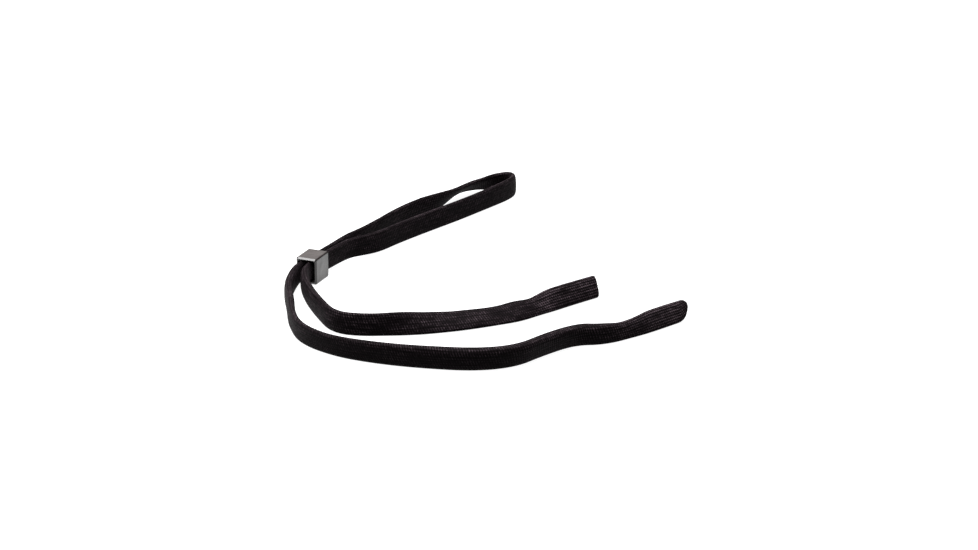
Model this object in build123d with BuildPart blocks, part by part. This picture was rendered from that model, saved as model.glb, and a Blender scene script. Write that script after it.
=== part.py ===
"""Eyeglass retainer strap.

One flat knitted cord is doubled into a loop, both of its strands are gripped by a moulded slider,
and its two free arms end in pockets that take the tips of a pair of glasses.
The strap lies on its edge on a level surface, as a stiff knitted tube does.

Frame: +Z up, the surface at Z = 0, the origin under the slider, midway between its two strands.
+Y is the way that the slider slides, towards the loop, and the arms swing to +X.
"""
from build123d import *
import math
import os

os.makedirs("parts", exist_ok=True)

# ---- driving dimensions, mm -------------------------------------------------------------
CORD_WIDTH = 10.0          # height of the cord when it stands on its edge
CORD_THICKNESS = 2.8       # two layers of knit
STRAND_WIDTH = 9.4         # the cord where the slider squeezes it
STRAND_THICKNESS = 2.6
LANE = 1.45                # half the distance between the two gripped strands
STRAND_FRONT = -8.0        # ends of the gripped strands along Y
STRAND_BACK = 28.0

SLIDER_WIDTH = 10.2
SLIDER_LENGTH = 13.0
SLIDER_HEIGHT = 12.2
SLIDER_RIGHT = 0.45        # the slider's middle lies this far to the right of the origin
SLIDER_FORWARD = 0.6       # and this far forward of it
SLIDER_YAW = 5.5           # degrees, the slider turned on its strands
BORE_WIDTH = 8.0
BORE_HEIGHT = 9.6
SLIDER_EDGE = 0.9          # rounding of the four long edges
SLIDER_RIM = 0.7           # flat bevel round each end
BORE_RIM = 0.3             # rounding where the bore opens
BORE_EDGE = 0.6            # rounding of the bore's long corners

POCKET_LENGTH = 25.0
POCKET_WIDTH = 10.5
POCKET_THICKNESS = 3.55
POCKET_WALL = 0.8
POCKET_BASE = 3.0          # knitted shut below the pocket
POCKET_LIP = 0.35          # rounding of the right mouth's outer edge
FINGERTIP = 3.5            # corner radius of the left pocket's rounded tip
HEM_DEPTH = 9.0            # how far the cord's end is turned in on itself
HEM_WALL = 0.6
HEM_CLEARANCE = 0.05       # between the turned-in layer and the outer one
LEFT_HEM_INSET = 3.6       # the hem starts inside the rounded tip
RIGHT_HEM_INSET = 0.4      # and just inside the blunt one

ARC_SHARE = 0.45           # how much of the shorter run an arc may take at each of its ends

# ---- the cord's route: corners of its centre line, mm -----------------------------------
STRAND_Z = SLIDER_HEIGHT / 2
EDGE_Z = CORD_WIDTH / 2    # centre height where the cord's lower edge rests on the surface
EASE_Z = (STRAND_Z + EDGE_Z) / 2

LOOP_ROUTE = [
    (LANE, STRAND_BACK, STRAND_Z),
    (LANE, 34, STRAND_Z),
    (4.6, 45, EASE_Z),
    (8, 60, EDGE_Z),
    (12.5, 82, EDGE_Z),
    (17.5, 104, EDGE_Z),
    (21.7, 126, EDGE_Z),
    (24.2, 140.2, EDGE_Z),
    (23.6, 147.4, EDGE_Z),
    (18.8, 151.2, EDGE_Z),
    (13.2, 148.8, EDGE_Z),
    (8.2, 141.5, EDGE_Z),
    (3.9, 129, EDGE_Z),
    (3.3, 112, EDGE_Z),
    (1, 95, EDGE_Z),
    (-1.7, 77, EDGE_Z),
    (-2.6, 60, EDGE_Z),
    (-2.3, 45, EASE_Z),
    (-LANE, 34, STRAND_Z),
    (-LANE, STRAND_BACK, STRAND_Z),
]
LEFT_ROUTE = [
    (-1.25, -9.5, STRAND_Z),
    (1.5, -18.5, STRAND_Z),
    (7.5, -30.5, EASE_Z),
    (16.5, -45.5, EDGE_Z),
    (25.5, -59.5, EDGE_Z),
    (38, -70, EDGE_Z),
    (57, -74.5, EDGE_Z),
    (78, -75, EDGE_Z),
    (98, -71, EDGE_Z),
    (119, -61, EDGE_Z),
    (130, -46, EDGE_Z),
    (134, -30, EDGE_Z),
    (141, -14, EDGE_Z),
    (152, -6, EDGE_Z),
    (159.6, 5.1, EDGE_Z),
    (162, 12.3, EDGE_Z),
]
RIGHT_ROUTE = [
    (2.2, -9.5, STRAND_Z),
    (7.3, -16.6, STRAND_Z),
    (15.1, -28.3, EASE_Z),
    (28.6, -41, EDGE_Z),
    (43.2, -52, EDGE_Z),
    (58, -49, EDGE_Z),
    (71, -38.5, EDGE_Z),
    (85, -24.5, EDGE_Z),
    (97, -9, EDGE_Z),
    (106, 5, EDGE_Z),
    (109.9, 13.1, EDGE_Z),
    (112.5, 19.1, EDGE_Z),
]


def arc_radii(route):
    """One radius for each corner, as large as its two runs allow."""
    radii = []
    for before, corner, after in zip(route, route[1:], route[2:]):
        run_in = Vector(corner) - Vector(before)
        run_out = Vector(after) - Vector(corner)
        half_turn = math.radians(run_in.get_angle(run_out)) / 2
        shorter = min(run_in.length, run_out.length)
        radii.append(ARC_SHARE * shorter / math.tan(half_turn))
    return radii


def upright_plane(point, towards):
    """A plane across the cord at a point: its Y is up, and its normal points along the route."""
    heading = Vector(towards) - Vector(point)
    across = Vector(-heading.Y, heading.X, 0)
    return Plane(origin=point, x_dir=across, z_dir=Vector(heading.X, heading.Y, 0))


def pocket_plane(before, end):
    """A plane across the cord's end, on the line along which its pocket runs."""
    base = Vector(end[0], end[1], POCKET_WIDTH / 2)
    towards = base + Vector(end) - Vector(before)
    return upright_plane(base, towards)


def side_plane(across_plane):
    """The upright plane along a pocket: its X is the pocket's axis, and its Y is up."""
    return Plane(across_plane.origin, x_dir=across_plane.z_dir, z_dir=-across_plane.x_dir)


def report_cord(name, route, part, section_area):
    """Print the arcs' radii, and the volume beside its section times its length."""
    with BuildLine(mode=Mode.PRIVATE) as path:
        FilletPolyline(*route, radius=arc_radii(route))
    length = path.wire().length
    radii = " ".join(f"{radius:.1f}" for radius in arc_radii(route))
    print(f"{name}: length {length:.1f} mm, radii {radii}")
    print(f"{name}: volume {part.volume:.1f}, section x length {section_area * length:.1f} mm3")


# ---- the slider: a moulded sleeve that grips both strands -------------------------------
slider_middle = Plane(origin=(SLIDER_RIGHT, -SLIDER_FORWARD, 0), z_dir=(0, 0, 1))
slider_plane = slider_middle.rotated((0, 0, SLIDER_YAW))
slider_axis = slider_plane.y_dir
mouth_plane = Plane(
    origin=slider_plane.origin - slider_axis * SLIDER_LENGTH / 2 + Vector(0, 0, STRAND_Z),
    x_dir=-slider_plane.x_dir,
    z_dir=slider_axis,
)

with BuildPart() as slider:
    with BuildSketch(mouth_plane):
        RectangleRounded(SLIDER_WIDTH, SLIDER_HEIGHT, SLIDER_EDGE)
        RectangleRounded(BORE_WIDTH, BORE_HEIGHT, BORE_EDGE, mode=Mode.SUBTRACT)
    extrude(amount=SLIDER_LENGTH)
    ends = slider.faces().filter_by(Axis((0, 0, 0), slider_axis))
    chamfer([edge for end in ends for edge in end.outer_wire().edges()], length=SLIDER_RIM)
    ends = slider.faces().filter_by(Axis((0, 0, 0), slider_axis))
    fillet([edge for end in ends for wire in end.inner_wires() for edge in wire.edges()], radius=BORE_RIM)

# ---- the two strands that the slider grips ----------------------------------------------
STRAND_LENGTH = STRAND_BACK - STRAND_FRONT

with BuildPart() as left_gripped_strand:
    with BuildSketch(upright_plane((-LANE, STRAND_FRONT, STRAND_Z), (-LANE, STRAND_BACK, STRAND_Z))):
        SlotOverall(STRAND_WIDTH, STRAND_THICKNESS, rotation=90)
    extrude(amount=STRAND_LENGTH)

with BuildPart() as right_gripped_strand:
    with BuildSketch(upright_plane((LANE, STRAND_FRONT, STRAND_Z), (LANE, STRAND_BACK, STRAND_Z))):
        SlotOverall(STRAND_WIDTH, STRAND_THICKNESS, rotation=90)
    extrude(amount=STRAND_LENGTH)

# ---- the loop behind the slider ---------------------------------------------------------
with BuildPart() as cord_loop:
    with BuildLine() as loop_path:
        FilletPolyline(*LOOP_ROUTE, radius=arc_radii(LOOP_ROUTE))
    with BuildSketch(upright_plane(LOOP_ROUTE[0], LOOP_ROUTE[1])) as cord_section:
        SlotOverall(CORD_WIDTH, CORD_THICKNESS, rotation=90)
    sweep(path=loop_path.wire())

# ---- the two arms, each with a round knuckle where it bends at the slider's mouth --------
left_start = upright_plane(LEFT_ROUTE[0], LEFT_ROUTE[1])
right_start = upright_plane(RIGHT_ROUTE[0], RIGHT_ROUTE[1])

with BuildPart() as left_arm_cord:
    with BuildLine() as left_path:
        FilletPolyline(*LEFT_ROUTE, radius=arc_radii(LEFT_ROUTE))
    with BuildSketch(left_start):
        SlotOverall(CORD_WIDTH, CORD_THICKNESS, rotation=90)
    sweep(path=left_path.wire())
    with BuildSketch(left_start):
        SlotOverall(CORD_WIDTH, CORD_THICKNESS, rotation=90)
        Rectangle(CORD_THICKNESS, CORD_WIDTH, align=(Align.MIN, Align.CENTER), mode=Mode.INTERSECT)
    revolve(axis=Axis(LEFT_ROUTE[0], (0, 0, 1)), revolution_arc=180)

with BuildPart() as right_arm_cord:
    with BuildLine() as right_path:
        FilletPolyline(*RIGHT_ROUTE, radius=arc_radii(RIGHT_ROUTE))
    with BuildSketch(right_start):
        SlotOverall(CORD_WIDTH, CORD_THICKNESS, rotation=90)
    sweep(path=right_path.wire())
    with BuildSketch(right_start):
        SlotOverall(CORD_WIDTH, CORD_THICKNESS, rotation=90)
        Rectangle(CORD_THICKNESS, CORD_WIDTH, align=(Align.MIN, Align.CENTER), mode=Mode.INTERSECT)
    revolve(axis=Axis(RIGHT_ROUTE[0], (0, 0, 1)), revolution_arc=180)

# ---- the end pockets: flat sleeves of knit that take the tips of the glasses -------------
left_pocket_plane = pocket_plane(LEFT_ROUTE[-2], LEFT_ROUTE[-1])
right_pocket_plane = pocket_plane(RIGHT_ROUTE[-2], RIGHT_ROUTE[-1])
CAVITY_WIDTH = POCKET_WIDTH - 2 * POCKET_WALL
CAVITY_THICKNESS = POCKET_THICKNESS - 2 * POCKET_WALL
CAVITY_LENGTH = POCKET_LENGTH - POCKET_BASE

with BuildPart() as left_end_pocket:
    with BuildSketch(left_pocket_plane):
        SlotOverall(POCKET_WIDTH, POCKET_THICKNESS, rotation=90)
    extrude(amount=POCKET_LENGTH)
    with BuildSketch(side_plane(left_pocket_plane)):
        RectangleRounded(2 * POCKET_LENGTH, POCKET_WIDTH, FINGERTIP)
    extrude(amount=POCKET_THICKNESS, both=True, mode=Mode.INTERSECT)
    with BuildSketch(left_pocket_plane.offset(POCKET_BASE)):
        SlotOverall(CAVITY_WIDTH, CAVITY_THICKNESS, rotation=90)
    extrude(amount=CAVITY_LENGTH, mode=Mode.SUBTRACT)

with BuildPart() as right_end_pocket:
    with BuildSketch(right_pocket_plane):
        SlotOverall(POCKET_WIDTH, POCKET_THICKNESS, rotation=90)
    extrude(amount=POCKET_LENGTH)
    right_mouth = right_end_pocket.faces().sort_by(Axis((0, 0, 0), right_pocket_plane.z_dir))[-1]
    fillet(right_mouth.edges(), radius=POCKET_LIP)
    with BuildSketch(right_pocket_plane.offset(POCKET_BASE)):
        SlotOverall(CAVITY_WIDTH, CAVITY_THICKNESS, rotation=90)
    extrude(amount=CAVITY_LENGTH, mode=Mode.SUBTRACT)

# ---- the hems: the cord's two ends turned in on themselves, inside the pockets -----------
HEM_WIDTH = CAVITY_WIDTH - 2 * HEM_CLEARANCE
HEM_THICKNESS = CAVITY_THICKNESS - 2 * HEM_CLEARANCE

with BuildPart() as left_pocket_hem:
    with BuildSketch(left_pocket_plane.offset(POCKET_LENGTH - LEFT_HEM_INSET - HEM_DEPTH)):
        SlotOverall(HEM_WIDTH, HEM_THICKNESS, rotation=90)
        SlotOverall(HEM_WIDTH - 2 * HEM_WALL, HEM_THICKNESS - 2 * HEM_WALL, rotation=90, mode=Mode.SUBTRACT)
    extrude(amount=HEM_DEPTH)

with BuildPart() as right_pocket_hem:
    with BuildSketch(right_pocket_plane.offset(POCKET_LENGTH - RIGHT_HEM_INSET - HEM_DEPTH)):
        SlotOverall(HEM_WIDTH, HEM_THICKNESS, rotation=90)
        SlotOverall(HEM_WIDTH - 2 * HEM_WALL, HEM_THICKNESS - 2 * HEM_WALL, rotation=90, mode=Mode.SUBTRACT)
    extrude(amount=HEM_DEPTH)

for name, made, route in (
    ("cord_loop", cord_loop, LOOP_ROUTE),
    ("left_arm_cord", left_arm_cord, LEFT_ROUTE),
    ("right_arm_cord", right_arm_cord, RIGHT_ROUTE),
):
    report_cord(name, route, made.part, cord_section.sketch.area)

slider.part.label = "slider"
export_step(slider.part, "parts/slider.step")
left_gripped_strand.part.label = "left_gripped_strand"
export_step(left_gripped_strand.part, "parts/left_gripped_strand.step")
right_gripped_strand.part.label = "right_gripped_strand"
export_step(right_gripped_strand.part, "parts/right_gripped_strand.step")
cord_loop.part.label = "cord_loop"
export_step(cord_loop.part, "parts/cord_loop.step")
left_arm_cord.part.label = "left_arm_cord"
export_step(left_arm_cord.part, "parts/left_arm_cord.step")
right_arm_cord.part.label = "right_arm_cord"
export_step(right_arm_cord.part, "parts/right_arm_cord.step")
left_end_pocket.part.label = "left_end_pocket"
export_step(left_end_pocket.part, "parts/left_end_pocket.step")
right_end_pocket.part.label = "right_end_pocket"
export_step(right_end_pocket.part, "parts/right_end_pocket.step")
left_pocket_hem.part.label = "left_pocket_hem"
export_step(left_pocket_hem.part, "parts/left_pocket_hem.step")
right_pocket_hem.part.label = "right_pocket_hem"
export_step(right_pocket_hem.part, "parts/right_pocket_hem.step")
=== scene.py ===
"""The looks of the eyeglass retainer strap: a ribbed black knit and a glossy slider.

Everything is in metres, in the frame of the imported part: +Z up, the slider over the origin.
Only the tables of sizes along the cord are in millimetres and degrees.
"""

import math

import bpy
import numpy as np
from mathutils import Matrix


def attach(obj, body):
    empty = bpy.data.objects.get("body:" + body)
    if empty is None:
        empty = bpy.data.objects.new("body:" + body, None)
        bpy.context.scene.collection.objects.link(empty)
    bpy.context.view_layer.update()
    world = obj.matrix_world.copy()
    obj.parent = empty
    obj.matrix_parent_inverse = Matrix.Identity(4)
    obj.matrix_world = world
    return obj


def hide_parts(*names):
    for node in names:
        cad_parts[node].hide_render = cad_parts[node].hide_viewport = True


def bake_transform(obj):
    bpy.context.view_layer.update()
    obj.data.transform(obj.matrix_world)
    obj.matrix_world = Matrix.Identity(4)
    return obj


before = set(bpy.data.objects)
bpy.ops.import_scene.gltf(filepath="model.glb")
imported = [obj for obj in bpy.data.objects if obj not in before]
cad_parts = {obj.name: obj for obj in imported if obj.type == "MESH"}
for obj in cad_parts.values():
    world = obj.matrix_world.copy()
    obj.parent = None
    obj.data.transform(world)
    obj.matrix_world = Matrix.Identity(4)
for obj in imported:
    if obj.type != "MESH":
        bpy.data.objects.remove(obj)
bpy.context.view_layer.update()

MM = 0.001

# ---- camera -----------------------------------------------------------------------------
TARGET = np.array((0.0676, 0.0429, 0.0))
DISTANCE = 1.5
AZIMUTH = math.radians(29)
ELEVATION = math.radians(20.5)
LENS = 121.5               # focal length, mm
SENSOR = 36.0              # sensor width, mm


def add_camera():
    """The camera looks along +Y, turned by the azimuth, and down by the elevation."""
    data = bpy.data.cameras.new("camera")
    data.lens = LENS
    data.sensor_width = SENSOR
    camera = bpy.data.objects.new("camera", data)
    bpy.context.collection.objects.link(camera)
    away = np.array((
        math.sin(AZIMUTH) * math.cos(ELEVATION),
        -math.cos(AZIMUTH) * math.cos(ELEVATION),
        math.sin(ELEVATION),
    ))
    camera.location = TARGET + away * DISTANCE
    camera.rotation_euler = (math.pi / 2 - ELEVATION, 0, AZIMUTH)
    bpy.context.scene.camera = camera


add_camera()

# ---- the cord's routes: points of its centre line ----------------------------------------
CORD_WIDTH = 0.010
REST_Z = CORD_WIDTH / 2    # height of the cord's middle where it lies on its edge
STRAND_Z = 0.0061          # and inside the slider
LANE = 0.00145             # how far each gripped strand lies from the slider's middle

LOOP_ROUTE = [
    (LANE, 0, STRAND_Z),
    (LANE, 0.016, STRAND_Z),
    (0.0022, 0.028, STRAND_Z),
    (0.0054, 0.0368, 0.0055),
    (0.0085, 0.0465, 0.0051),
    (0.010, 0.059, 0.0051),
    (0.0145, 0.081, 0.0051),
    (0.0195, 0.103, 0.0051),
    (0.0235, 0.125, 0.0053),
    (0.025, 0.139, REST_Z),
    (0.024, 0.147, REST_Z),
    (0.020, 0.1505, REST_Z),
    (0.015, 0.1475, REST_Z),
    (0.009, 0.141, REST_Z),
    (0.004, 0.130, REST_Z),
    (0.005, 0.110, REST_Z),
    (0.001, 0.095, REST_Z),
    (-0.0015, 0.0765, REST_Z),
    (-0.0015, 0.0585, REST_Z),
    (-0.0015, 0.044, 0.0054),
    (-0.0022, 0.033, 0.006),
    (-LANE, 0.016, STRAND_Z),
    (-LANE, 0, STRAND_Z),
]
LEFT_ROUTE = [
    (-LANE, 0, STRAND_Z),
    (-0.0017, -0.0085, STRAND_Z),
    (0.0009, -0.0185, 0.0056),
    (0.0058, -0.0303, REST_Z),
    (0.0161, -0.0440, REST_Z),
    (0.0254, -0.0580, REST_Z),
    (0.0380, -0.0707, REST_Z),
    (0.0573, -0.0767, REST_Z),
    (0.0774, -0.0752, REST_Z),
    (0.0974, -0.0703, REST_Z),
    (0.1195, -0.0619, REST_Z),
    (0.1322, -0.0492, REST_Z),
    (0.1360, -0.0331, REST_Z),
    (0.1422, -0.0153, REST_Z),
    (0.1524, -0.0082, REST_Z),
    (0.1595, 0.0075, REST_Z),
    (0.1645, 0.0215, REST_Z),
    (0.1697, 0.0377, REST_Z),
]
RIGHT_ROUTE = [
    (LANE, 0, STRAND_Z),
    (0.0023, -0.008, STRAND_Z),
    (0.0056, -0.0165, 0.0056),
    (0.0149, -0.0278, REST_Z),
    (0.029, -0.041, REST_Z),
    (0.0438, -0.0529, REST_Z),
    (0.058, -0.049, REST_Z),
    (0.071, -0.039, REST_Z),
    (0.085, -0.0255, REST_Z),
    (0.098, -0.0105, REST_Z),
    (0.107, 0.003, REST_Z),
    (0.112, 0.016, REST_Z),
    (0.117, 0.029, REST_Z),
    (0.1224, 0.0427, REST_Z),
]
RINGS_PER_POINT = 36       # rings of the mesh between two points of a route


def centre_line(route):
    """The points of the smooth line that follows a route, a NURBS spline of order 3."""
    curve = bpy.data.curves.new("route", "CURVE")
    curve.dimensions = "3D"
    spline = curve.splines.new("NURBS")
    spline.points.add(len(route) - 1)
    for point, place in zip(spline.points, route):
        point.co = (*place, 1)
    spline.order_u = 3
    spline.use_endpoint_u = True
    spline.resolution_u = RINGS_PER_POINT
    holder = bpy.data.objects.new("route", curve)
    mesh = bpy.data.meshes.new_from_object(holder)
    line = np.array([vertex.co for vertex in mesh.vertices])
    bpy.data.objects.remove(holder)
    bpy.data.curves.remove(curve)
    bpy.data.meshes.remove(mesh)
    return line


# ---- the cord's surface ------------------------------------------------------------------
SMOOTHING = 4              # millimetres, either side, over which a change of size or lean is eased
FURTHEST = 400             # millimetres, past the end of any stretch
NOWHERE = ((0, 0), (FURTHEST, 0))       # a table that is zero all along
WALES = 20                 # lengthwise ribs round the cord
POINTS_PER_WALE = 6
RIB_DEPTH = 0.00012
RIB_ROUNDNESS = 0.8        # power of the ribs' cosine: below 1 the ribs are broad and the valleys narrow
OPEN_DEEPER = 2.0          # how much deeper the ribs are where the knit opens into a pocket
COURSE = 0.00115           # pitch of the stitches along the cord
BOXINESS = 2.8             # the section's roundness: 2 is an ellipse, more is squarer
SECTION_STEPS = 360
NARROWEST = 1.02           # at a cut corner the section stays at least this many thicknesses wide
SLANTED = 0.006            # length over which a blunt end runs out of square


def unit(vectors):
    return vectors / np.linalg.norm(vectors, axis=1)[:, None]


def signed_power(values, power):
    return np.sign(values) * np.abs(values) ** power


def arc_lengths(line):
    """How far along a line each of its points lies."""
    steps = np.linalg.norm(np.diff(line, axis=0), axis=1)
    return np.concatenate([[0], np.cumsum(steps)])


def along(lengths, table):
    """A value that changes smoothly along the cord: table is (millimetres, value) pairs."""
    places, values = zip(*table)
    even = np.arange(places[0], places[-1] + 1, 1.0)
    padded = np.pad(np.interp(even, places, values), SMOOTHING, mode="edge")
    kernel = np.hanning(2 * SMOOTHING + 3)[1:-1]
    smooth = np.convolve(padded, kernel / kernel.sum(), mode="valid")
    return np.interp(lengths / MM, even, smooth)


def section(width, thickness, top_heavy):
    """Points round the puffed section, evenly spaced from the middle of its lower edge.

    They come as shares of the way round, places across and up, and outward normals.
    """
    turn = np.linspace(-math.pi / 2, 1.5 * math.pi, SECTION_STEPS + 1)
    cosine, sine = np.cos(turn), np.sin(turn)
    power = 2 / BOXINESS
    breadth, height = signed_power(cosine, power), signed_power(sine, power)
    steep_across, steep_up = signed_power(cosine, 2 - power), signed_power(sine, 2 - power)
    share = np.arange(WALES * POINTS_PER_WALE) / (WALES * POINTS_PER_WALE)
    made = []
    for wide, thick, heavy in zip(width, thickness, top_heavy):
        across = breadth * (1 + heavy * height) * thick / 2
        up = height * wide / 2
        normal = np.stack([steep_across / thick, steep_up / wide])
        normal /= np.linalg.norm(normal, axis=0)
        walked = arc_lengths(np.stack([across, up], axis=1))
        wanted = share * walked[-1]
        made.append([np.interp(wanted, walked, values) for values in (across, up, *normal)])
    across, up, normal_across, normal_up = np.array(made).transpose(1, 0, 2)
    return share, across, up, normal_across, normal_up


class Strap:
    """A centre line with the cord's sizes and its lean along it, as tables for along().

    lean is in degrees, to the left of the way that the line runs. top_heavy thickens the top
    and thins the foot by that share, and openness says how far the ribs have opened. rests puts
    the cord's lowest edge on the floor. The corners and the slant shape its far end.
    """

    def __init__(self, route, width, thickness, lean, top_heavy=NOWHERE, openness=NOWHERE,
                 rests=True, top_corner=0.0, low_corner=0.0, end_slant=0.0):
        self.line = centre_line(route)
        self.lengths = arc_lengths(self.line)
        self.total = self.lengths[-1]
        self.tangents = np.gradient(self.line, self.lengths, axis=0)
        self.width = width
        self.thickness = thickness
        self.lean = lean
        self.top_heavy = top_heavy
        self.openness = openness
        self.rests = rests
        self.top_corner = top_corner
        self.low_corner = low_corner
        self.end_slant = end_slant

    def sizes(self, lengths):
        return along(lengths, self.width) * MM, along(lengths, self.thickness) * MM

    def at(self, lengths, rows):
        """Rows of values, one for each point of the line, read off at these lengths."""
        return np.stack([np.interp(lengths, self.lengths, column) for column in rows.T], axis=1)

    def attitude(self, lengths):
        """Where the cord's middle is, and which way its top faces, its side faces and it runs."""
        place = self.at(lengths, self.line)
        ahead = unit(self.at(lengths, self.tangents))
        left = unit(np.cross((0, 0, 1), ahead))
        top = np.cross(ahead, left)
        lean = np.radians(along(lengths, self.lean))[:, None]
        high = top * np.cos(lean) + left * np.sin(lean)
        side = top * np.sin(lean) - left * np.cos(lean)
        if self.rests:
            width, thickness = self.sizes(lengths)
            lowest = (width - thickness) / 2 * np.cos(lean[:, 0]) + thickness / 2
            place[:, 2] += lowest - REST_Z
        return place, high, side, ahead

    def corner_cut(self, lengths, radius):
        """How much a rounded corner takes off the width, near the far end."""
        if radius == 0:
            return np.zeros_like(lengths)
        past = np.clip(lengths - (self.total - radius), 0, radius)
        return radius - np.sqrt(radius ** 2 - past ** 2)

    def rings(self, lengths, width, thickness, ribs=1.0):
        """Rings of the cord's surface at these lengths, with the ribs at this share of their depth."""
        place, high, side, ahead = self.attitude(lengths)
        top_cut = self.corner_cut(lengths, self.top_corner)
        low_cut = self.corner_cut(lengths, self.low_corner)
        width = np.maximum(width - top_cut - low_cut, thickness * NARROWEST)
        place += high * ((low_cut - top_cut) / 2)[:, None]
        top_heavy = along(lengths, self.top_heavy)
        share, across, up, normal_across, normal_up = section(width, thickness, top_heavy)
        crown = np.abs(np.cos(math.pi * WALES * share)) ** RIB_ROUNDNESS
        depth = RIB_DEPTH * ribs * (1 + OPEN_DEEPER * along(lengths, self.openness))
        sink = depth[:, None] * (crown - 1)[None, :]
        across = across + normal_across * sink
        up = up + normal_up * sink
        near_end = np.clip(1 - (self.total - lengths) / SLANTED, 0, 1)
        outer_width = self.sizes(lengths)[0]
        forward = self.end_slant * near_end[:, None] * (-2 * up / outer_width[:, None])
        return (
            place[:, None, :]
            + side[:, None, :] * across[:, :, None]
            + high[:, None, :] * up[:, :, None]
            + ahead[:, None, :] * forward[:, :, None]
        )


def knit_mesh(name, rings, lengths, openness):
    """A closed tube through the rings, with the knit's coordinates: courses along, wales round."""
    ring_count, count = rings.shape[:2]
    end = (ring_count - 1) * count
    first_tip, last_tip = ring_count * count, ring_count * count + 1
    vertices = list(rings.reshape(-1, 3)) + [rings[0].mean(axis=0), rings[-1].mean(axis=0)]
    faces, coordinates = [], []
    course = lengths / COURSE
    for i in range(ring_count - 1):
        for j in range(count):
            k = (j + 1) % count
            low, high = j / POINTS_PER_WALE, (j + 1) / POINTS_PER_WALE
            here, onward = i * count, (i + 1) * count
            faces.append((here + j, here + k, onward + k, onward + j))
            coordinates += [(course[i], low), (course[i], high)]
            coordinates += [(course[i + 1], high), (course[i + 1], low)]
    for j in range(count):
        k = (j + 1) % count
        low, high = j / POINTS_PER_WALE, (j + 1) / POINTS_PER_WALE
        faces.append((k, j, first_tip))
        coordinates += [(course[0], high), (course[0], low), (course[0], low)]
        faces.append((end + j, end + k, last_tip))
        coordinates += [(course[-1], low), (course[-1], high), (course[-1], low)]
    mesh = bpy.data.meshes.new(name)
    mesh.from_pydata([tuple(v) for v in vertices], [], faces)
    layer = mesh.uv_layers.new(name="knit")
    layer.data.foreach_set("uv", np.array(coordinates, dtype=np.float32).ravel())
    opened = np.concatenate([np.repeat(openness, count), openness[[0, -1]]]).astype(np.float32)
    mesh.attributes.new("openness", "FLOAT", "POINT").data.foreach_set("value", opened)
    mesh.shade_smooth()
    strap = bpy.data.objects.new(name, mesh)
    bpy.context.collection.objects.link(strap)
    return strap


LIP_RINGS = 8
LIP_RIBS = 0.8             # the ribs flatten where the mouth turns in,
CAVITY_RIBS = 0.3          # and more inside it
CAVITY_RINGS = 14
CAVITY_DEPTH = 0.012
SLIT_WIDTH = 0.0076
SLIT_THICKNESS = 0.0007


def pocket_rings(strap):
    """An end pocket's lip and inside: rings that turn in at the mouth and run down the cavity."""
    tip_width, tip_thickness = (size[0] for size in strap.sizes(np.array([strap.total])))
    lip = (tip_thickness - SLIT_THICKNESS) / 4
    turn = np.linspace(0, math.pi, LIP_RINGS + 2)[1:]
    lengths = strap.total - lip + lip * np.sin(turn)
    inset = lip * (1 - np.cos(turn))
    turned = (1 - np.cos(turn)) / 2
    width = (tip_width - 2 * inset) * (1 - turned) + SLIT_WIDTH * turned
    mouth = strap.rings(lengths, width, tip_thickness - 2 * inset, ribs=LIP_RIBS)
    down = np.linspace(strap.total - lip, strap.total - CAVITY_DEPTH, CAVITY_RINGS)[1:]
    slit_width, slit_thickness = np.full(len(down), SLIT_WIDTH), np.full(len(down), SLIT_THICKNESS)
    inside = strap.rings(down, slit_width, slit_thickness, ribs=CAVITY_RIBS)
    round_lip = lip * turn
    walked = strap.total - lip + np.concatenate([round_lip, round_lip[-1] + (strap.total - lip - down)])
    return np.concatenate([mouth, inside]), walked, lip


def strap_piece(name, strap, pocket):
    """The knitted surface of one stretch of cord, with an open pocket at its far end or a plain one."""
    walked = strap.lengths
    if pocket:
        turned_in, walked_in, lip = pocket_rings(strap)
        walked = walked[walked < strap.total - lip]
    rings = strap.rings(walked, *strap.sizes(walked))
    if pocket:
        rings = np.concatenate([rings, turned_in])
        walked = np.concatenate([walked, walked_in])
    return knit_mesh(name, rings, walked, along(walked, strap.openness))


# ---- the three stretches: (millimetres from the slider's middle, value) -------------------
GRIP_WIDTH = 9.4           # the cord's size in millimetres where the slider squeezes it
GRIP_THICKNESS = 2.6

loop = Strap(
    LOOP_ROUTE,
    width=[(0, GRIP_WIDTH), (30, GRIP_WIDTH), (44, 10.2), (75, 10.1), (115, 10), (132, 10.3),
           (146, 10.6), (155, 10.3), (160, 10), (225, 10), (245, 9.5), (272, 9.6), (283, 9.5),
           (309, GRIP_WIDTH)],
    thickness=[(0, GRIP_THICKNESS), (30, GRIP_THICKNESS), (40, 3.0), (272, 3.0), (283, 2.7),
               (309, GRIP_THICKNESS)],
    lean=[(0, 0), (150, 0), (160, 16), (169, 44), (180, 54), (187, 51), (196, 34), (205, 12),
          (215, 0)],
    rests=False,
)
left = Strap(
    LEFT_ROUTE,
    width=[(0, GRIP_WIDTH), (7, GRIP_WIDTH), (14, 9.9), (50, 10.3), (85, 10.1), (105, 10.6),
           (120, 10.9), (165, 11), (185, 10.8), (205, 10.8), (222, 10.4), (232, 9.4), (241, 8),
           (248, 8.4), (257, 9.7), (270, 9.6), (277, 9.3)],
    thickness=[(0, GRIP_THICKNESS), (7, 2.7), (18, 3.9), (50, 3.7), (85, 3.1), (120, 3.4),
               (155, 4.4), (235, 4.6), (245, 4.2), (255, 3.9), (277, 3.4)],
    lean=[(0, 0), (60, 0), (80, -5), (100, -15), (120, -14), (160, -12), (195, -14), (218, -14),
          (230, -4), (242, 12), (252, 20), (280, 25)],
    top_heavy=[(0, 0), (120, 0), (155, 0.25), (235, 0.25), (255, 0), (280, 0)],
    openness=[(0, 0), (225, 0), (250, 1), (280, 1)],
    top_corner=0.0025,
    low_corner=0.007,
)
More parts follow.
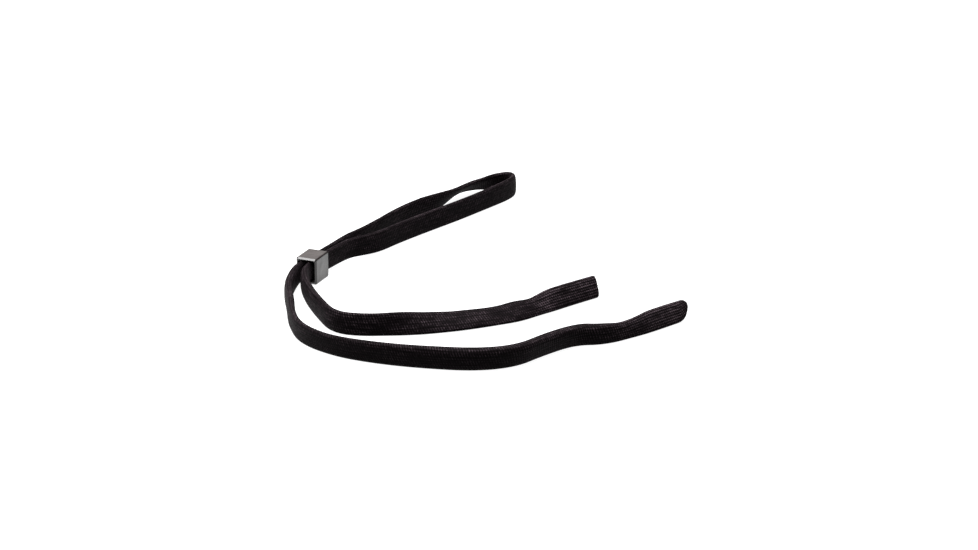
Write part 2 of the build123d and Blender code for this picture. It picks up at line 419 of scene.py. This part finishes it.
right = Strap(
    RIGHT_ROUTE,
    width=[(0, GRIP_WIDTH), (7, GRIP_WIDTH), (14, 10), (60, 10.3), (125, 10.2), (139, 9.5),
           (146, 9.7), (150, 10.4), (155, 9.8), (160, 8.6), (165, 9.4), (171, 10.4), (196, 10.1)],
    thickness=[(0, GRIP_THICKNESS), (7, 2.7), (16, 3.8), (40, 3.4), (145, 2.9), (157, 3.0),
               (170, 3.6), (196, 3.6)],
    lean=[(0, 0), (90, 4), (108, 40), (122, 54), (150, 53), (163, 40), (180, 30), (200, 28)],
    openness=[(0, 0), (150, 0), (170, 0.9), (200, 0.9)],
    top_corner=0.0006,
    low_corner=0.0008,
    end_slant=-0.0006,
)

strap_loop = strap_piece("strap_loop", loop, pocket=False)
strap_left_arm = strap_piece("strap_left_arm", left, pocket=True)
strap_right_arm = strap_piece("strap_right_arm", right, pocket=True)


def bend_at(piece):
    """Bakes the piece's placement into its mesh."""
    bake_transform(piece)


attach(strap_loop, "strap")
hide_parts("cord_loop", "left_gripped_strand", "right_gripped_strand")

bend_at(strap_left_arm)
bend_at(strap_right_arm)
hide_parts("left_arm_cord", "left_end_pocket", "left_pocket_hem")
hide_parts("right_arm_cord", "right_end_pocket", "right_pocket_hem")


# ---- materials --------------------------------------------------------------------------
class Graph:
    """A small helper that adds shader nodes and joins them."""

    def __init__(self, name):
        self.material = bpy.data.materials.new(name)
        self.material.use_nodes = True
        self.tree = self.material.node_tree
        self.shader = self.tree.nodes["Principled BSDF"]

    def node(self, kind, inputs=(), **settings):
        made = self.tree.nodes.new(kind)
        for key, value in settings.items():
            setattr(made, key, value)
        for key, value in dict(inputs).items():
            self.put(made.inputs[key], value)
        return made

    def put(self, socket, value):
        if isinstance(value, bpy.types.NodeSocket):
            self.tree.links.new(value, socket)
        else:
            socket.default_value = value

    def shade(self, inputs):
        """Sets the shader's own inputs."""
        for key, value in inputs.items():
            self.put(self.shader.inputs[key], value)

    def math(self, operation, *values):
        made = self.node("ShaderNodeMath", enumerate(values), operation=operation)
        return made.outputs[0]

    def between(self, factor, ends):
        """Runs from the first end, where the factor is 0, to the second, where it is 1."""
        start, end = ends
        return self.math("MULTIPLY_ADD", factor, end - start, start)

    def ramp(self, factor, stops):
        made = self.node("ShaderNodeValToRGB", {"Fac": factor})
        elements = made.color_ramp.elements
        while len(elements) < len(stops):
            elements.new(0.5)
        for element, (position, color) in zip(elements, stops):
            element.position = position
            element.color = (*color, 1)
        return made.outputs["Color"]

    def noise(self, scale, detail, vector):
        inputs = {"Scale": scale, "Detail": detail, "Vector": vector}
        return self.node("ShaderNodeTexNoise", inputs).outputs["Fac"]

    def bump(self, strength, distance, height, under=None):
        """A bumped normal, on top of another one if it is given."""
        inputs = {"Strength": strength, "Distance": distance, "Height": height}
        if under is not None:
            inputs["Normal"] = under
        return self.node("ShaderNodeBump", inputs).outputs["Normal"]


STITCH_LEAN = 0.35               # courses that a row of stitches runs on by, from one rib to the next
STITCH_BOW = 0.3                 # and from the middle of a rib to one course to its side
WOBBLE_SCALE, WOBBLE = 900, 0.5  # how finely, and by how many courses, the stitches stray
FIBRE_SCALE, WORN_SCALE = 5000, 60
STREAK_LENGTH = 10               # courses, about the length of one streak along a rib
VALLEY = (0.6, 0.1)              # height of the valleys between ribs, in the bump and as painted shade: on the cord, and in an open pocket
STITCH_DEPTH = (0.8, 0.65)       # how far the knit sinks between stitches, in the bump and as painted shade, likewise
OWN_SHADE = (0.45, 0.7)          # how light a stitch can be by itself,
STREAK_SHADE = (-0.3, 2.1)       # in a streak,
WORN_SHADE = (0.55, 1.45)        # in a worn patch,
OPEN_PAINTED_LIGHT = (1.0, 1.6)          # and where the knit is open: painted light that makes the pockets lighter
FIBRE_SHADE = 0.15
FIBRE_RELIEF = 0.3
# the knit's colours: the dark end is painted shade in the valleys and between stitches, the light end
# the stitches' crowns
KNIT_COLORS = [
    (0.0, (0.0003, 0.00015, 0.0002)),
    (0.35, (0.0065, 0.0045, 0.0055)),
    (1.0, (0.075, 0.057, 0.066)),
]
KNIT_ROUGHNESS = (0.5, 0.7)
KNIT_SPECULAR = 0.02
KNIT_SHEEN = 0.01
SHEEN_ROUGHNESS = 0.45
SHEEN_TINT = (0.9, 0.82, 0.88, 1)
KNIT_BUMP, KNIT_RELIEF = 0.6, 0.00022    # strength, and depth in metres


def knit_material():
    """Black knit: rounded lengthwise ribs, each a chain of slanted stitches, no two quite alike. The
    colour has painted shade in the valleys and between stitches, and painted light on the open pockets.
    """
    g = Graph("knit")
    where = g.node("ShaderNodeUVMap", uv_map="knit").outputs["UV"]
    split = g.node("ShaderNodeSeparateXYZ", {"Vector": where})
    course, wale = split.outputs["X"], split.outputs["Y"]
    place = g.node("ShaderNodeTexCoord").outputs["Object"]
    opened = g.node("ShaderNodeAttribute", attribute_name="openness").outputs["Fac"]
    fibres = g.noise(FIBRE_SCALE, 3, place)
    worn = g.noise(WORN_SCALE, 4, place)

    from_rib = g.math("ABSOLUTE", g.math("SUBTRACT", g.math("FRACT", g.math("ADD", wale, 0.5)), 0.5))
    rib = g.math("SUBTRACT", 1.0, g.math("MULTIPLY", g.math("MULTIPLY", from_rib, from_rib), 4.0))
    across = g.math("MULTIPLY_ADD", from_rib, STITCH_BOW, g.math("MULTIPLY", wale, STITCH_LEAN))
    wobble = g.math("MULTIPLY", g.math("SUBTRACT", g.noise(WOBBLE_SCALE, 2, place), 0.5), WOBBLE)
    slanted = g.math("ADD", g.math("ADD", course, across), wobble)
    stitch = g.math("MULTIPLY_ADD", g.math("COSINE", g.math("MULTIPLY", slanted, math.tau)), 0.5, 0.5)
    valley = g.between(opened, VALLEY)
    crown = g.math("MULTIPLY_ADD", rib, g.math("SUBTRACT", 1.0, valley), valley)
    depth = g.between(opened, STITCH_DEPTH)
    row = g.math("MULTIPLY_ADD", stitch, depth, g.math("SUBTRACT", 1.0, depth))
    height = g.math("MULTIPLY", crown, row)

    cell = g.node("ShaderNodeCombineXYZ", {
        "X": g.math("FLOOR", g.math("ADD", slanted, 0.5)),
        "Y": g.math("FLOOR", g.math("ADD", wale, 0.5)),
    })
    own = g.node("ShaderNodeTexWhiteNoise", {"Vector": cell.outputs["Vector"]}).outputs["Value"]
    lengthwise = g.node("ShaderNodeCombineXYZ", {
        "X": g.math("MULTIPLY", course, 1 / STREAK_LENGTH),
        "Y": wale,
    })
    streak = g.noise(1.0, 2, lengthwise.outputs["Vector"])
    # random tones of stitches, streaks and patches, and the painted light that lightens the open pockets
    shades = [(own, OWN_SHADE), (streak, STREAK_SHADE), (worn, WORN_SHADE), (opened, OPEN_PAINTED_LIGHT)]
    # the colour follows the knit's height, which paints shade into the valleys between ribs and the gaps
    # between stitches
    shade = height
    for factor, ends in shades:
        shade = g.math("MULTIPLY", shade, g.between(factor, ends))
    shade = g.math("ADD", shade, g.math("MULTIPLY", g.math("SUBTRACT", fibres, 0.5), FIBRE_SHADE))

    relief = g.math("ADD", height, g.math("MULTIPLY", fibres, FIBRE_RELIEF))
    g.shade({
        "Base Color": g.ramp(shade, KNIT_COLORS),
        "Roughness": g.between(fibres, KNIT_ROUGHNESS),
        "Specular IOR Level": KNIT_SPECULAR,
        "Sheen Weight": KNIT_SHEEN,
        "Sheen Roughness": SHEEN_ROUGHNESS,
        "Sheen Tint": SHEEN_TINT,
        "Normal": g.bump(KNIT_BUMP, KNIT_RELIEF, relief),
    })
    return g.material


CLOUD_SCALE, GRAIN_SCALE, DISH_SCALE = 220, 2500, 150
PLASTIC_COLORS = [(0.3, (0.011, 0.0088, 0.0085)), (0.7, (0.02, 0.0165, 0.016))]
PLASTIC_ROUGHNESS = (0.08, 0.22)
GRAIN_BUMP, GRAIN_RELIEF = 0.15, 0.00004
DISH_BUMP, DISH_RELIEF = 1.0, 0.0003     # the faces rise and sink a little, as moulded plastic does


def slider_material():
    """Black moulded plastic, glossy, with a faint unevenness in its shine."""
    g = Graph("slider_plastic")
    place = g.node("ShaderNodeTexCoord").outputs["Object"]
    cloud = g.noise(CLOUD_SCALE, 4, place)
    grain = g.bump(GRAIN_BUMP, GRAIN_RELIEF, g.noise(GRAIN_SCALE, 3, place))
    g.shade({
        "Base Color": g.ramp(cloud, PLASTIC_COLORS),
        "Roughness": g.between(cloud, PLASTIC_ROUGHNESS),
        "Normal": g.bump(DISH_BUMP, DISH_RELIEF, g.noise(DISH_SCALE, 1, place), under=grain),
    })
    return g.material


def dress(piece, material):
    piece.data.materials.clear()
    piece.data.materials.append(material)


knit = knit_material()
for piece in (strap_loop, strap_left_arm, strap_right_arm):
    dress(piece, knit)

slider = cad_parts["slider"]
for slot in slider.material_slots:
    slot.material = slider_material()

# ---- the stage: pale floor and wall, soft white studio light ------------------------------
FLOOR_SIZE = 8.0
FLOOR_GREY, FLOOR_GLOW = 0.24, 0.95     # with the light that falls on it, the floor comes out white
WALL_GREY, WALL_GLOW = 0.0, 1.0
WALL_HEIGHT = 3.0
WALL_SIDES = 64


def stage_object(name, vertices, faces, grey, glow):
    """A matt surface that also shines by itself."""
    mesh = bpy.data.meshes.new(name)
    mesh.from_pydata(vertices, [], faces)
    made = bpy.data.objects.new(name, mesh)
    bpy.context.collection.objects.link(made)
    g = Graph(name)
    g.shade({
        "Base Color": (grey, grey, grey, 1),
        "Emission Color": (1, 1, 1, 1),
        "Emission Strength": glow,
        "Roughness": 1.0,
        "Specular IOR Level": 0.0,
    })
    dress(made, g.material)
    return made


def add_floor():
    """The floor shows in reflections, but throws no light up at the strap."""
    half = FLOOR_SIZE / 2
    corners = [(-half, -half, 0), (half, -half, 0), (half, half, 0), (-half, half, 0)]
    floor = stage_object("floor", corners, [(0, 1, 2, 3)], FLOOR_GREY, FLOOR_GLOW)
    floor.visible_diffuse = False


def add_wall():
    """A white wall round the floor, seen by the camera alone: light and reflections pass through it."""
    turn = np.linspace(0, math.tau, WALL_SIDES, endpoint=False)
    ring = [(FLOOR_SIZE / 2 * math.cos(angle), FLOOR_SIZE / 2 * math.sin(angle)) for angle in turn]
    vertices = [(x, y, z) for z in (0, WALL_HEIGHT) for x, y in ring]
    faces = []
    for i in range(WALL_SIDES):
        k = (i + 1) % WALL_SIDES
        faces.append((i, k, WALL_SIDES + k, WALL_SIDES + i))
    wall = stage_object("wall", vertices, faces, WALL_GREY, WALL_GLOW)
    wall.visible_diffuse = wall.visible_glossy = False
    wall.visible_transmission = wall.visible_shadow = False


LIGHT_PLACE = (-0.2, -0.1, 1.6)
LIGHT_SIZE = (1.5, 1.8)
LIGHT_POWER = 112


def add_light():
    """A large soft light overhead that faces the middle of the strap."""
    data = bpy.data.lights.new("top", "AREA")
    data.shape = "RECTANGLE"
    data.size, data.size_y = LIGHT_SIZE
    data.energy = LIGHT_POWER
    light = bpy.data.objects.new("top", data)
    bpy.context.collection.objects.link(light)
    light.location = LIGHT_PLACE
    x, y, z = TARGET - LIGHT_PLACE
    light.rotation_euler = (math.atan2(math.hypot(x, y), -z), 0, math.atan2(-x, y))


ROOM = 0.2                          # brightness of the room round the table
BACKDROP = 1.05                     # and of the white backdrop behind the strap
BACKDROP_WAY = (-0.454, 0.819, 0.35)
BACKDROP_EDGE = (0.88, 0.985)       # it fades between these cosines of the angle from its middle
HORIZON = (-0.02, 0.02)             # below the horizon the world goes black, between these heights
WARM_WHITE = (1, 0.93, 0.91, 1)


def add_world():
    """A dim room with a white backdrop behind the strap, and nothing below the floor."""
    world = bpy.data.worlds.new("studio")
    world.use_nodes = True
    nodes, links = world.node_tree.nodes, world.node_tree.links
    way = nodes.new("ShaderNodeTexCoord").outputs["Generated"]
    split = nodes.new("ShaderNodeSeparateXYZ")
    above = nodes.new("ShaderNodeMapRange")
    above.inputs["From Min"].default_value, above.inputs["From Max"].default_value = HORIZON
    towards = nodes.new("ShaderNodeVectorMath")
    towards.operation = "DOT_PRODUCT"
    towards.inputs[1].default_value = BACKDROP_WAY
    backdrop = nodes.new("ShaderNodeMapRange")
    backdrop.inputs["From Min"].default_value, backdrop.inputs["From Max"].default_value = BACKDROP_EDGE
    backdrop.inputs["To Min"].default_value, backdrop.inputs["To Max"].default_value = ROOM, BACKDROP
    strength = nodes.new("ShaderNodeMath")
    strength.operation = "MULTIPLY"
    links.new(way, split.inputs["Vector"])
    links.new(way, towards.inputs[0])
    links.new(split.outputs["Z"], above.inputs["Value"])
    links.new(towards.outputs["Value"], backdrop.inputs["Value"])
    links.new(above.outputs["Result"], strength.inputs[0])
    links.new(backdrop.outputs["Result"], strength.inputs[1])
    background = nodes["Background"]
    background.inputs["Color"].default_value = WARM_WHITE
    links.new(strength.outputs["Value"], background.inputs["Strength"])
    bpy.context.scene.world = world


add_floor()
add_wall()
add_world()
add_light()
bpy.context.scene.view_settings.view_transform = "Standard"
